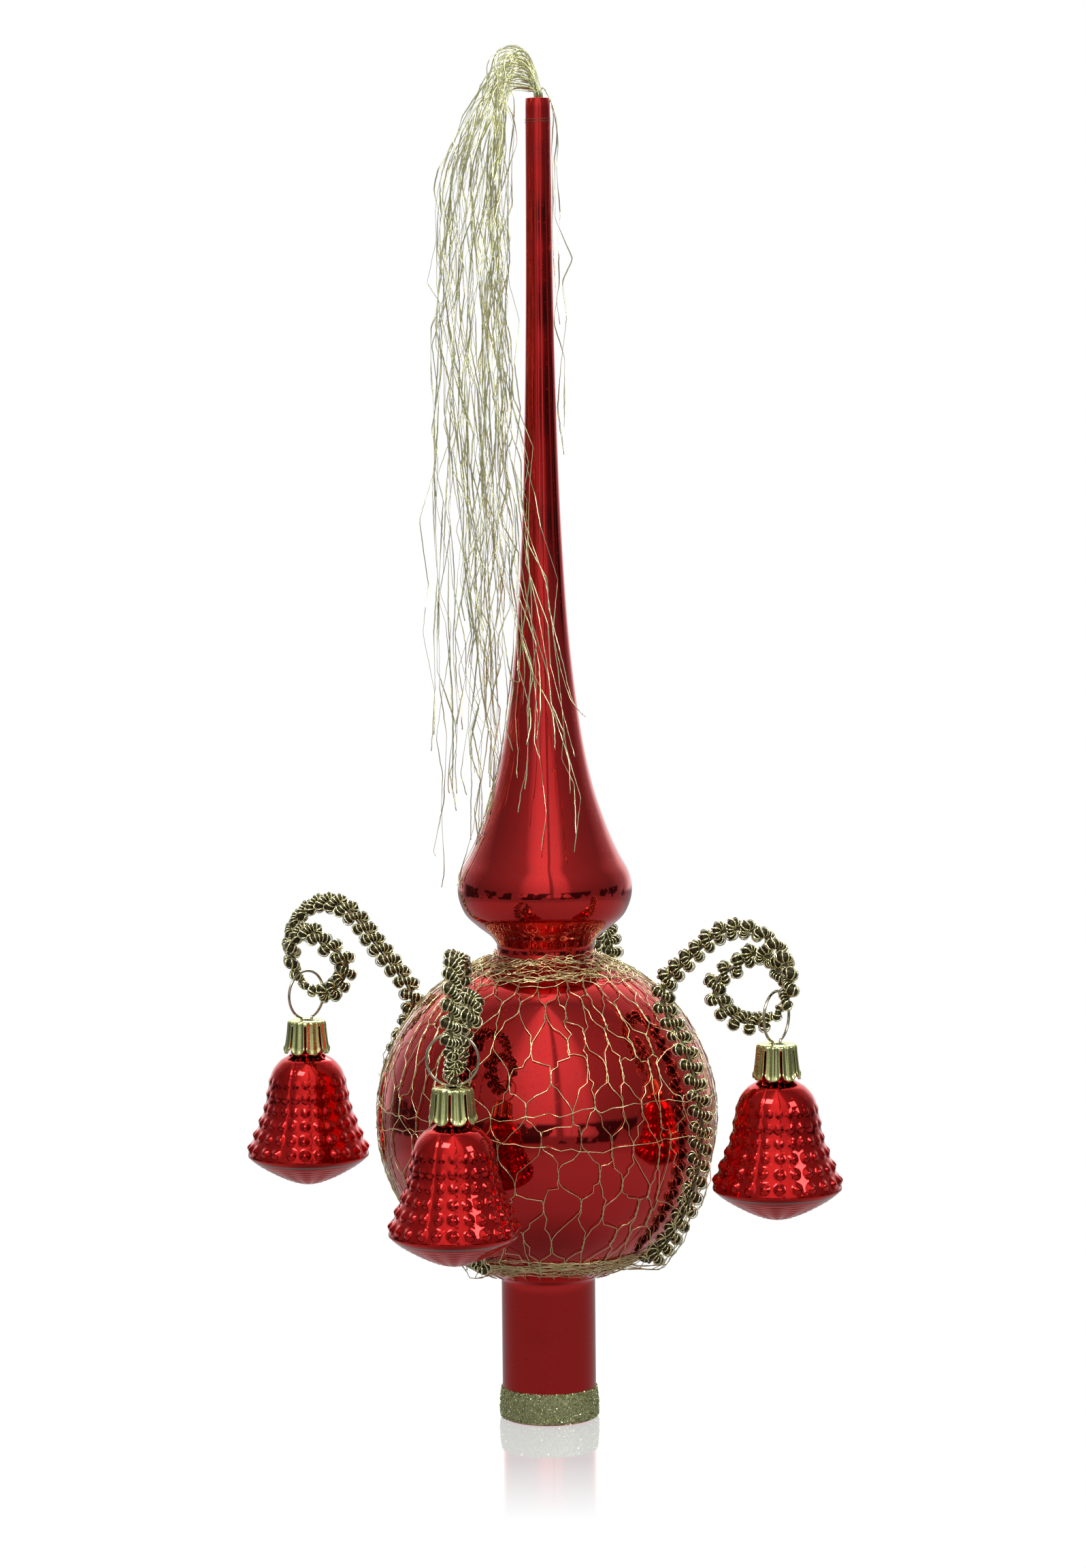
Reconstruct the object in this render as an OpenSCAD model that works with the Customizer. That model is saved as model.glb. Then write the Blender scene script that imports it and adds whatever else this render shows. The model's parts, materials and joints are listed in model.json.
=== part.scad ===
// Glass tree topper with a netted ball, a spire and four small bells on curled wire arms.
// Z is up. The origin is the centre of the socket's mouth. Millimetres.

/* [Glass] */
// Height of the blown glass, from the socket's mouth to the cut tip
glass_h = 311; // [300:1:330]
// Diameter of the ball
ball_d = 80; // [78:0.5:82]
// Outer diameter of the socket tube
tube_d = 22.2; // [21:0.1:23]
// Outer diameter of the neck between the ball and the bulb
neck_d = 22.8; // [22:0.1:24]
// Wall of the topper's glass
wall = 1; // [0.8:0.1:1.2]
// Height of the glitter band around the socket's mouth
band_h = 7.6; // [4:0.1:10]

/* [Arms] */
// Radius of one bead of the beaded wire
bead_r = 1.35; // [1.2:0.05:1.4]
// Distance along the core wire from one bead to the next
bead_step = 1.85; // [1.8:0.05:2.2]
// Radius of the core wire that carries the beaded wire
core_r = 0.6; // [0.4:0.05:0.6]
// Centreline radius of the curl at an arm's end
curl_r = 10.3; // [10.2:0.05:10.6]
// Gap between the ball and a strand that lies on it
lay_gap = 0.25; // [0.2:0.05:0.6]

/* [Bells] */
// Height of a bell from its dome to the top of its cap
bell_h = 41; // [40:0.5:42]
// Widest diameter of a bell
bell_d = 29.2; // [28:0.2:30]
// Wall of a bell's glass
bell_wall = 0.8; // [0.6:0.1:1]
// Height of a bell's crown cap
cap_h = 8; // [7:0.1:9]
// Outer diameter of a hanger ring
ring_d = 12.4; // [12:0.1:13]
// Diameter of the hanger's wire
ring_wire = 0.65; // [0.5:0.05:0.8]

/* [Hidden] */
$fn = 48;
fine_fn = 24;

ball_r = ball_d / 2;
ball_z = 72.4;
tube_r = tube_d / 2;
neck_r = neck_d / 2;
neck_top_z = 113.4;
arc_steps = 36;

// Outline of the bulb and spire above the neck, as [radius, height] knots of a smooth curve.
// The glass is cut into stretches at the neck and at one knot, with hairline gaps.
spire_knots = [
    [neck_r, neck_top_z], [12.9, 115.4], [16.2, 118], [18.8, 120.6], [20.3, 124.2],
    [20.5, 127.6], [19.7, 130.8], [17.4, 135], [14.6, 141.5], [11.4, 151.4], [8.8, 164.3],
    [6.4, 184], [4.9, 206], [3.9, 232], [3.2, 268], [2.9, glass_h]
];
knot_steps = 3;
spire_cut = 9;
glass_gap = 0.02;

// One arm is [ball azimuth, plane azimuth, leave angle, bend radius, reach, curl height, hang,
// wide radius, join angle].
// The strand lies on the ball at the first azimuth, measured from the front towards +X, and
// climbs to the leave angle. Its free end then stands in a vertical plane at the second azimuth.
// Reach is from the leaving point to the curl's centre, and hang from there to the bell's axis.
// The strand enters the curl on a wider circle and joins the curl at the last angle.
arm_left = [-120, -133, 29, 7, 31.2, 107, 4.6, 15, 35];
arm_front = [-32, -4, 32, 9, 18.4, 101.8, 6.9, 14.5, 10];
arm_right = [56, 58, 37, 7.5, 22, 108.6, 6.6, 13.5, 40];
arm_back = [166, 166, 20, 13, 18.2, 99.8, 5, 11.5, 40];
arm_start_angle = -49;
curl_end = -165;
// The end of an arm leaves the curl's plane and comes to rest beside it, over its upper half.
tail_r = 6.5;
tail_side = 5.6;
tail_start = 150;
tail_end = 10;
bead_gap = 0.05;
// Beads sit diagonally beside the core wire, so that two rows of them show from every side.
bead_shift = (core_r + bead_gap + bead_r) / sqrt(2);
strand_r = bead_shift + bead_r;
core_trim = 0.01;
core_leave_trim = 0.12;
lay_r = ball_r + lay_gap + strand_r;

ring_gap = 0.15;
ring_bars = 15;
bar_gap = 0.01;
ring_r = (ring_d - ring_wire) / 2;
wire_r = ring_wire / 2;
leg_half = 1.5;
leg_len = 7;
leg_lean = 4;
leg_hole_r = 0.6;
foot_clear = 0.45;
foot_trim = 0.44;
foot_bead_r = 0.42;

bell_neck_r = 4;
bell_neck_z = 32.6;
cap_wall = 0.35;
cap_top_r = 4.75;
cap_bottom_r = 5.55;
cap_fingers = 8;
slit_w = 0.7;
rim_r = bell_d / 2;

// Outline of a bell as [radius, height] knots: dome, seam, rim, flank and shoulder.
dome_knots = [[0, 0], [3.2, 0.7], [6.8, 2.1], [10.2, 3.9], [12.8, 5.5]];
flank_knots = [
    [rim_r - 0.3, 6.9], [rim_r, 8.1], [12.5, 13.8], [10.5, 19.4], [9.3, 24.5], [8.2, 28.4],
    [6.6, 30.9], [4.8, 32], [bell_neck_r, bell_neck_z]
];

net_wire_r = 0.2;
net_lift = 0.35;
net_low = -66;
net_high = 70;
net_spacing = 9;
arm_keep_off = 14;

function horizontal(az) = [sin(az), -cos(az), 0];
function catmull(a, b, c, d, t) =
    0.5 * (2 * b + (c - a) * t + (2 * a - 5 * b + 4 * c - d) * t * t
    + (3 * b - a - 3 * c + d) * t * t * t);
function smooth_line(k, n) = concat(
    [for (i = [0:len(k) - 2]) for (s = [0:n - 1])
        catmull(k[max(i - 1, 0)], k[i], k[i + 1], k[min(i + 2, len(k) - 1)], s / n)],
    [k[len(k) - 1]]);
function unit(v) = v / norm(v);
function left_of(v) = [-v[1], v[0]];
// The same line moved sideways, towards the axis for a line that runs up.
function inner_line(p, d) = [for (i = [0:len(p) - 1])
    p[i] + d * left_of(unit(p[min(i + 1, len(p) - 1)] - p[max(i - 1, 0)]))];
function reversed(p) = [for (i = [len(p) - 1:-1:0]) p[i]];
function ball_arc(r, low, high) = [for (i = [0:arc_steps])
    let (a = low + (high - low) * i / arc_steps) [r * cos(a), ball_z + r * sin(a)]];

function arm_leave_r(arm) = lay_r * cos(arm[2]);
function arm_shift(arm) = arm_leave_r(arm) * (horizontal(arm[0]) - horizontal(arm[1]));
function curl_centre(arm) = [arm_leave_r(arm) + arm[4], arm[5]];
function bend_centre(arm) =
    [0, ball_z] + (lay_r + arm[3]) * [cos(arm[2]), sin(arm[2])];
function wide_centre(arm) =
    curl_centre(arm) - (arm[7] - curl_r) * [cos(arm[8]), sin(arm[8])];
function bend_to_wide(arm) = wide_centre(arm) - bend_centre(arm);
// Direction from both circles' centres to the ends of the straight that joins them.
function straight_normal(arm) = let (d = bend_to_wide(arm))
    atan2(d[1], d[0]) + acos((arm[3] - arm[7]) / norm(d));

function ring_top_drop(arm) = let (inner = curl_r - strand_r, x = arm[6] + wire_r)
    sqrt(inner * inner - x * x) - ring_gap;
function ring_z(arm) = arm[5] - ring_top_drop(arm) - (ring_r - wire_r);
function foot_drop() = sqrt(ring_r * ring_r - leg_half * leg_half);
function cap_z(arm) = ring_z(arm) - foot_drop() - foot_clear;
function bell_pos(arm) =
    arm_shift(arm) + (arm_leave_r(arm) + arm[4] + arm[6]) * horizontal(arm[1]);

// Bead places along an arm, as [point, direction out of the bend, direction across the plane].
function in_plane(p, az, side) = p[0] * horizontal(az) + [0, 0, p[1]] + side * across(az);
function across(az) = [cos(az), sin(az), 0];
function circle_point(centre, radius, a) = centre + radius * [cos(a), sin(a)];
function arc_beads(centre, radius, from, to, az, shift, side = 0) =
    let (n = round(abs(from - to) * PI / 180 * radius / bead_step))
    [for (i = [0:n - 1]) let (a = from + (to - from) * (i + 0.5) / n)
        [shift + in_plane(circle_point(centre, radius, a), az, side),
            in_plane([cos(a), sin(a)], az, 0), across(az)]];
// A direction turned square to one or two others.
function square_to(v, a, b = [0, 0, 0]) = unit(v - (v * a) * a - (v * b) * b);
function line_beads(start, end, out, side, clear) = let (
        n = round(norm(end - start) / bead_step), way = unit(end - start),
        square_out = square_to(out, way), square_side = square_to(side, way, square_out))
    [for (i = [clear:n - 1 - clear])
        [start + (end - start) * (i + 0.5) / n, square_out, square_side]];
function curl_point(arm, radius, a, side) =
    arm_shift(arm) + in_plane(circle_point(curl_centre(arm), radius, a), arm[1], side);
function straight_end(arm) =
    arm_shift(arm) + in_plane(circle_point(wide_centre(arm), arm[7], straight_normal(arm)), arm[1], 0);
function strand_beads(arm) = let (
        beta = straight_normal(arm), out = [cos(beta), sin(beta)], az = arm[1],
        start = arm_shift(arm) + in_plane(bend_centre(arm) + arm[3] * out, az, 0)) concat(
    arc_beads([0, ball_z], lay_r, arm_start_angle, arm[2], arm[0], [0, 0, 0]),
    arc_beads(bend_centre(arm), arm[3], 180 + arm[2], beta, az, arm_shift(arm)),
    line_beads(start, straight_end(arm), in_plane(out, az, 0), across(az), 0),
    arc_beads(wide_centre(arm), arm[7], beta, arm[8], az, arm_shift(arm)),
    arc_beads(curl_centre(arm), curl_r, arm[8], curl_end, az, arm_shift(arm)),
    line_beads(curl_point(arm, curl_r, curl_end, 0),
        curl_point(arm, tail_r, tail_start, tail_side),
        in_plane([cos(tail_start), sin(tail_start)], az, 0), across(az), 1),
    arc_beads(curl_centre(arm), tail_r, tail_start, tail_end, az, arm_shift(arm), tail_side));

// A vertical plane through the Z axis at an azimuth: X runs outwards and Y runs up.
module upright(az) rotate([0, 0, az - 90]) rotate([90, 0, 0]) children();
// A bent round bar in that plane, from one angle up to another.
module bent_bar(centre, radius, low, high, r) translate([centre[0], centre[1], 0])
    rotate([0, 0, low]) rotate_extrude(angle = high - low) translate([radius, 0])
        circle(r = r, $fn = fine_fn);
function turn_for(length, radius) = length / radius * 180 / PI;
module straight_bar(from, to, r, trim) {
    way = to - from;
    translate(from) rotate([0, acos(way[2] / norm(way)), atan2(way[1], way[0])])
        translate([0, 0, trim]) cylinder(r = r, h = norm(way) - 2 * trim, $fn = fine_fn);
}
// The blown glass as stretches that butt: socket tube, ball with the neck, bulb, and spire.
module glass_topper() color("firebrick") {
    tube_top = ball_z - sqrt(ball_r * ball_r - tube_r * tube_r);
    hollow_r = ball_r - wall;
    bore_angle = -acos((tube_r - wall) / hollow_r);
    throat_angle = acos((neck_r - wall) / hollow_r);
    spire = smooth_line(spire_knots, knot_steps);
    inner = inner_line(spire, wall);
    cut = spire_cut * knot_steps;
    gap = [0, glass_gap];
    rotate_extrude() polygon([
        [tube_r - wall, 0], [tube_r, 0], [tube_r, tube_top - glass_gap],
        [tube_r - wall, tube_top - glass_gap]]);
    rotate_extrude() polygon(concat(
        [[tube_r - wall, tube_top]], ball_arc(ball_r, -acos(tube_r / ball_r), acos(neck_r / ball_r)),
        [[neck_r, neck_top_z - glass_gap], [neck_r - wall, neck_top_z - glass_gap]],
        reversed(ball_arc(hollow_r, bore_angle, throat_angle))));
    rotate_extrude() polygon(concat(
        [for (i = [0:cut]) spire[i]], [for (i = [cut:-1:1]) inner[i]], [[neck_r - wall, neck_top_z]]));
    rotate_extrude() polygon(concat(
        [spire[cut] + gap], [for (i = [cut + 1:len(spire) - 1]) spire[i]],
        [for (i = [len(spire) - 1:-1:cut + 1]) inner[i]], [inner[cut] + gap]));
}

module glitter_band() color("olive") rotate_extrude() polygon([
    [tube_r, 0.3], [tube_r + 0.4, 0.3], [tube_r + 0.65, 1.6], [tube_r + 0.7, 3.2],
    [tube_r + 0.5, 5.4], [tube_r + 0.2, 0.3 + band_h], [tube_r, 0.3 + band_h]]);

// Crinkled wires of the net between the arms, each a plain arc from the lower to the upper tie.
module wire_net() color("darkkhaki")
    for (az = [-180:net_spacing:179]) if (net_is_clear(az))
        upright(az) bent_bar([0, ball_z], ball_r + net_lift, net_low, net_high, net_wire_r);
function turn_between(a, b) = abs((a - b + 540) % 360 - 180);
function net_is_clear(az) =
    min([for (arm = [arm_left, arm_front, arm_right, arm_back]) turn_between(az, arm[0])])
    > arm_keep_off;

module net_tie(z, r) color("goldenrod")
    rotate_extrude() translate([r, z]) circle(r = 0.5, $fn = fine_fn);
module net_tie_top() net_tie(111.8, neck_r + 0.7);
module net_tie_bottom() net_tie(36.2, tube_r + 8.55);

// The core wire in stretches, with hairline gaps at its bends.
module arm_core(arm) color("saddlebrown") {
    beta = straight_normal(arm);
    out = [cos(beta), sin(beta)];
    straight_from = arm_shift(arm) + in_plane(bend_centre(arm) + arm[3] * out, arm[1], 0);
    upright(arm[0]) bent_bar([0, ball_z], lay_r,
        arm_start_angle, arm[2] - turn_for(core_leave_trim, lay_r), core_r);
    translate(arm_shift(arm)) upright(arm[1]) {
        bent_bar(bend_centre(arm), arm[3], beta + turn_for(core_trim, arm[3]),
            180 + arm[2] - turn_for(core_leave_trim, arm[3]), core_r);
        bent_bar(wide_centre(arm), arm[7], arm[8] + turn_for(core_trim, arm[7]),
            beta - turn_for(core_trim, arm[7]), core_r);
        bent_bar(curl_centre(arm), curl_r, curl_end, arm[8], core_r);
        translate([0, 0, tail_side]) bent_bar(curl_centre(arm), tail_r, tail_end, tail_start, core_r);
    }
    straight_bar(straight_from, straight_end(arm), core_r, core_trim);
    straight_bar(curl_point(arm, curl_r, curl_end, 0),
        curl_point(arm, tail_r, tail_start, tail_side), core_r, 2 * core_r);
}

// The beads, alternately on one side of the core wire and on the other.
module arm_bouillon(arm) color("darkolivegreen") {
    beads = strand_beads(arm);
    for (i = [0:len(beads) - 1]) let (way = i % 2 == 0 ? 1 : -1)
        translate(beads[i][0] + way * bead_shift * (beads[i][1] + beads[i][2]))
            sphere(r = bead_r, $fn = fine_fn);
}

// A hanger's ring is bent in short straight bars, mitred where they meet.
module ring_bar(low, high) intersection() {
    middle = (low + high) / 2;
    half_len = ring_r * tan((high - low) / 2) + wire_r;
    rotate([0, 0, middle]) translate([ring_r, half_len, 0]) rotate([90, 0, 0])
        cylinder(r = wire_r, h = 2 * half_len, $fn = fine_fn);
    translate([0, 0, -ring_wire]) linear_extrude(2 * ring_wire)
        polygon([[0, 0], 2 * ring_r * [cos(low), sin(low)], 2 * ring_r * [cos(high), sin(high)]]);
}
module bell_hanger(arm) color("silver")
    translate(bell_pos(arm) + [0, 0, ring_z(arm)]) upright(arm[1] + 90) {
        foot_angle = asin(leg_half / ring_r) + turn_for(foot_trim, ring_r);
        bar_turn = (360 - 2 * foot_angle) / ring_bars;
        for (i = [0:ring_bars - 1]) let (low = foot_angle - 90 + i * bar_turn)
            ring_bar(low + turn_for(bar_gap, ring_r), low + bar_turn - turn_for(bar_gap, ring_r));
        for (side = [-1, 1]) translate([side * leg_half, -foot_drop(), 0]) {
            sphere(r = foot_bead_r, $fn = fine_fn);
            rotate([90, 0, 0]) rotate([0, side * leg_lean, 0]) translate([0, 0, foot_trim])
                cylinder(r = wire_r, h = leg_len, $fn = fine_fn);
        }
    }

module bell_cap(arm) color("gold")
    translate(bell_pos(arm) + [0, 0, cap_z(arm)]) rotate([0, 0, arm[1]]) difference() {
        rotate_extrude() polygon([
            [0, -cap_wall], [cap_top_r - cap_wall, -cap_wall], [cap_bottom_r - cap_wall, -cap_h],
            [cap_bottom_r, -cap_h], [cap_top_r, -0.5], [cap_top_r - 0.5, 0], [0, 0]]);
        for (side = [-1, 1]) translate([side * leg_half, 0, -1])
            cylinder(r = leg_hole_r, h = 2, $fn = fine_fn);
        for (i = [0:cap_fingers - 1]) rotate([0, 0, (i + 0.5) * 360 / cap_fingers])
            translate([3, -slit_w / 2, -cap_h - 1]) cube([4, slit_w, cap_h - 1]);
    }

module bell_glass(arm) {
    flank = smooth_line(concat([dome_knots[4]], flank_knots), knot_steps);
    dome = smooth_line(dome_knots, knot_steps);
    mouth_z = bell_h - cap_wall - 0.1;
    outer = concat(dome, [for (i = [1:len(flank) - 1]) flank[i]], [[bell_neck_r, mouth_z]]);
    inner = inner_line(outer, bell_wall);
    hollow = concat([[0, bell_wall]], [for (i = [1:len(inner) - 2]) inner[i]],
        [[bell_neck_r - bell_wall, mouth_z]]);
    color("crimson") translate(bell_pos(arm) + [0, 0, cap_z(arm) - bell_h])
        rotate_extrude() polygon(concat(outer, reversed(hollow)));
}

module tinsel_binding() color("goldenrod") rotate_extrude()
    polygon([[3, 304], [3.5, 304.3], [3.6, 306], [3.5, 307.7], [3, 308]]);

// The tinsel's outer shape, as [x, y, z, radius] along the tuft from the tip to its lowest ends.
tuft = [
    [0, 0, 306, 1.4], [0, 0, 313, 1.7], [-2, 0, 318, 2.2], [-6, -1, 320.5, 2.6],
    [-10, -2, 317, 3.2], [-13, -2, 309, 4.2], [-16, -2, 294, 6], [-17, -2, 270, 7.5],
    [-17, -2, 240, 8.2], [-19, -2, 205, 8.6], [-22, -3, 175, 7.6], [-26, -5, 148, 5]
];
tuft_sides = 16;
function tuft_point(i) = [tuft[i][0], tuft[i][1], tuft[i][2]];
function tuft_way(i) = unit(tuft_point(min(i + 1, len(tuft) - 1)) - tuft_point(max(i - 1, 0)));
function tuft_ring(i) = let (side = unit(cross(tuft_way(i), [0, 1, 0])), front = cross(side, tuft_way(i)))
    [for (k = [0:tuft_sides - 1]) let (a = k * 360 / tuft_sides)
        tuft_point(i) + tuft[i][3] * (cos(a) * side + sin(a) * front)];
module tinsel_spray() {
    last = (len(tuft) - 1) * tuft_sides;
    color("darkkhaki") polyhedron(
        points = [for (i = [0:len(tuft) - 1]) each tuft_ring(i)],
        faces = concat(
            [[for (k = [0:tuft_sides - 1]) k]],
            [for (i = [0:len(tuft) - 2]) for (k = [0:tuft_sides - 1])
                let (a = i * tuft_sides + k, b = i * tuft_sides + (k + 1) % tuft_sides)
                [a, a + tuft_sides, b + tuft_sides, b]],
            [[for (k = [tuft_sides - 1:-1:0]) last + k]]));
}

glass_topper();
glitter_band();
wire_net();
net_tie_top();
net_tie_bottom();
arm_core(arm_left);  // arm_core_left
arm_core(arm_front);  // arm_core_front
arm_core(arm_right);  // arm_core_right
arm_core(arm_back);  // arm_core_back
arm_bouillon(arm_left);  // arm_bouillon_left
arm_bouillon(arm_front);  // arm_bouillon_front
arm_bouillon(arm_right);  // arm_bouillon_right
arm_bouillon(arm_back);  // arm_bouillon_back
bell_hanger(arm_left);  // bell_hanger_left
bell_hanger(arm_front);  // bell_hanger_front
bell_hanger(arm_right);  // bell_hanger_right
bell_hanger(arm_back);  // bell_hanger_back
bell_cap(arm_left);  // bell_cap_left
bell_cap(arm_front);  // bell_cap_front
bell_cap(arm_right);  // bell_cap_right
bell_cap(arm_back);  // bell_cap_back
bell_glass(arm_left);  // bell_glass_left
bell_glass(arm_front);  // bell_glass_front
bell_glass(arm_right);  // bell_glass_right
bell_glass(arm_back);  // bell_glass_back
tinsel_binding();
tinsel_spray();
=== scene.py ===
import json
import math
import bpy
import numpy as np
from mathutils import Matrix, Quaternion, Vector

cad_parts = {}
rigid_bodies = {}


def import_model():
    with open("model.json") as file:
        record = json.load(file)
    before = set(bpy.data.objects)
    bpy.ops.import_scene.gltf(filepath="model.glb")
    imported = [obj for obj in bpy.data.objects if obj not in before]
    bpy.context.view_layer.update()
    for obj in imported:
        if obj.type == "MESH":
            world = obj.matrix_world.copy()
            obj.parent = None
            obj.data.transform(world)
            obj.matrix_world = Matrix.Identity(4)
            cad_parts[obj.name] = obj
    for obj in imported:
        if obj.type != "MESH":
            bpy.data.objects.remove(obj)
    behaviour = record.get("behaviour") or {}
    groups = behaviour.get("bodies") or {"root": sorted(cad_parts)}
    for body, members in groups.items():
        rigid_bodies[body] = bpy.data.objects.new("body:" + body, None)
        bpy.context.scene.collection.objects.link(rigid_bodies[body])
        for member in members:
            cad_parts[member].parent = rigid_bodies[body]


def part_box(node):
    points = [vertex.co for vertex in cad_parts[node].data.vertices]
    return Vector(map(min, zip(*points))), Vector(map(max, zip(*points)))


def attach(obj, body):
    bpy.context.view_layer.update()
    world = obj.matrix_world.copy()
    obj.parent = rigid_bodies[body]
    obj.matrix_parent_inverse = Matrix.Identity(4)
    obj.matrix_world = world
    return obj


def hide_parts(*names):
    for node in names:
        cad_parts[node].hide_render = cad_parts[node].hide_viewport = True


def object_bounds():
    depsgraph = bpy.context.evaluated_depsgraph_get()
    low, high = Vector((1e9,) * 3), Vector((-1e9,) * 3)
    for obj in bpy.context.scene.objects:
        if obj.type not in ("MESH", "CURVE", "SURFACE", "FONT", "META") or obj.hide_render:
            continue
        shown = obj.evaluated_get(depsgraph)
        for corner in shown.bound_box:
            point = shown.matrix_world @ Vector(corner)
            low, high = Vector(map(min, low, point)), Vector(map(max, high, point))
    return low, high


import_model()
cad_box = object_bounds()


# Studio: a white sweep all round and one camera a metre away, a little above the ball.
# The mirror glass shows the room: bright behind the lens and behind the object, dim at the
# sides, with dark clutter at the height of the lens and a grey table below.
MM = 0.001
camera_place = (-0.2, -1100, 249.7)
camera_dip, camera_roll = 5.12, -0.53
scene = bpy.context.scene
scene.view_settings.view_transform = "Standard"
object_low, object_high = cad_box
object_middle = (object_low + object_high) / 2

camera_data = bpy.data.cameras.new("camera")
camera_data.sensor_width = 36
camera_data.lens = 107.75
camera_data.clip_start = 0.05
camera_data.clip_end = 50
camera = bpy.data.objects.new("camera", camera_data)
camera.location = [value * MM for value in camera_place]
camera.rotation_euler = (math.radians(90 - camera_dip), 0, 0)
camera.rotation_mode = "QUATERNION"
camera.rotation_quaternion = (camera.rotation_euler.to_quaternion()
                              @ Quaternion((0, 0, 1), math.radians(camera_roll)))
scene.collection.objects.link(camera)
scene.camera = camera


def add_nodes(tree, kinds):
    """Adds shader nodes from a {name: type} dictionary; a type may end in its operation."""
    nodes = {}
    for name, kind in kinds.items():
        kind, _, operation = kind.partition(" ")
        nodes[name] = tree.nodes.new("ShaderNode" + kind)
        if kind == "Mix":
            nodes[name].data_type = "RGBA"
        if operation:
            nodes[name].operation = operation
    return nodes


def set_values(nodes, values):
    """Sets inputs of named nodes from {node: {socket: value}}."""
    for name, sockets in values.items():
        for socket, value in sockets.items():
            nodes[name].inputs[socket].default_value = value


def join_nodes(tree, nodes, joints):
    """Links named nodes; each joint is (from, its output, to, its input)."""
    for start, output, end, socket in joints:
        tree.links.new(nodes[start].outputs[output], nodes[end].inputs[socket])


def rgba(value):
    """A grey level or a colour as four channels."""
    return (*np.broadcast_to(value, 3).astype(float), 1)


def set_ramp(node, stops, interpolation="LINEAR"):
    """Gives a colour ramp its (position, colour) stops."""
    ramp = node.color_ramp
    ramp.interpolation = interpolation
    while len(ramp.elements) > 1:
        ramp.elements.remove(ramp.elements[-1])
    ramp.elements[0].position = stops[0][0]
    ramp.elements[0].color = rgba(stops[0][1])
    for place, colour in stops[1:]:
        ramp.elements.new(place).color = rgba(colour)


world = bpy.data.worlds.new("studio")
scene.world = world
world.use_nodes = True
room = world.node_tree
room.nodes.clear()
n = add_nodes(room, {
    "way": "TexCoord", "split": "SeparateXYZ", "back": "Math MULTIPLY", "turn": "Math ARCTAN2",
    "share": "MapRange", "walls": "ValToRGB", "height": "MapRange", "table": "ValToRGB",
    "table_edge": "ValToRGB", "rise": "MapRange", "brighten": "Mix", "clutter": "TexNoise",
    "shapes": "ValToRGB", "row": "ValToRGB", "around": "ValToRGB", "dark": "Math MULTIPLY",
    "dark_here": "Math MULTIPLY", "clutter_mix": "Mix", "table_mix": "Mix", "seen": "LightPath",
    "pick": "Mix", "glow": "Background", "out": "OutputWorld"})
n["brighten"].blend_type = "MULTIPLY"
set_values(n, {
    "back": {1: -1}, "share": {"From Min": -math.pi, "From Max": math.pi},
    "height": {"From Min": -1, "From Max": 1},
    "rise": {"From Min": 0.1, "From Max": 0.7, "To Min": 0.9, "To Max": 1.3},
    "clutter": {"Scale": 3.4, "Detail": 3}, "brighten": {"Factor": 1},
    "clutter_mix": {"B": rgba(0.03)}, "pick": {"B": rgba(1)}})
set_ramp(n["walls"], [
    (0.0, 1.2), (0.09, 1.2), (0.13, 0.50), (0.22, 0.22),
    (0.33, 0.30), (0.40, 0.38), (0.43, 0.72), (0.47, 0.92),
    (0.515, 0.95), (0.520, 0.35), (0.528, 0.32), (0.533, 0.85),
    (0.575, 0.76), (0.60, 0.34), (0.67, 0.28), (0.78, 0.22),
    (0.87, 0.50), (0.91, 1.2), (1.0, 1.2)])
set_ramp(n["table"], [
    (0.0, 0.20), (0.07, 0.37), (0.25, 0.45), (0.34, 0.44),
    (0.37, 0.33), (0.43, 0.30), (0.47, 0.24)])
set_ramp(n["table_edge"], [(0.44, 0), (0.462, 1)])
set_ramp(n["shapes"], [(0.505, 0), (0.53, 0.93)])
set_ramp(n["row"], [(0.404, 0), (0.412, 1), (0.515, 1), (0.535, 0)])
set_ramp(n["around"], [(0.12, 0), (0.15, 1), (0.85, 1), (0.88, 0)])
join_nodes(room, n, [
    ("way", "Generated", "split", 0), ("way", "Generated", "clutter", "Vector"),
    ("split", "Y", "back", 0), ("split", "X", "turn", 0), ("back", 0, "turn", 1),
    ("turn", 0, "share", "Value"), ("share", 0, "walls", 0), ("share", 0, "around", 0),
    ("split", "Z", "height", "Value"), ("split", "Z", "rise", "Value"),
    ("height", 0, "table", 0), ("height", 0, "table_edge", 0), ("height", 0, "row", 0),
    ("clutter", "Fac", "shapes", 0), ("shapes", 0, "dark", 0), ("row", 0, "dark", 1),
    ("walls", 0, "brighten", "A"), ("rise", 0, "brighten", "B"),
    ("dark", 0, "dark_here", 0), ("around", 0, "dark_here", 1),
    ("table_edge", 0, "table_mix", "Factor"), ("table", 0, "table_mix", "A"),
    ("brighten", "Result", "table_mix", "B"), ("dark_here", 0, "clutter_mix", "Factor"),
    ("table_mix", "Result", "clutter_mix", "A"), ("seen", "Is Camera Ray", "pick", "Factor"),
    ("clutter_mix", "Result", "pick", "A"), ("pick", "Result", "glow", "Color"),
    ("glow", 0, "out", "Surface")])

# The lamps sparkle on the wire, the sheet, the flakes and the bells; the plain glass shows only
# the room.
lamp_lit = bpy.data.collections.new("lamp_lit")
for name, place, size, power in [
        ("key", (-0.5, -0.9, 1.3), 0.5, 11),
        ("fill", (0.9, -0.7, 0.8), 0.4, 5),
        ("rear", (0.1, 1.2, 1.1), 0.9, 12)]:
    lamp_data = bpy.data.lights.new(name, "AREA")
    lamp_data.size = size
    lamp_data.energy = power
    lamp = bpy.data.objects.new(name, lamp_data)
    lamp.location = place
    lamp.light_linking.receiver_collection = lamp_lit
    lamp.rotation_euler = (object_middle - lamp.location).to_track_quat("-Z", "Y").to_euler()
    scene.collection.objects.link(lamp)


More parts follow.
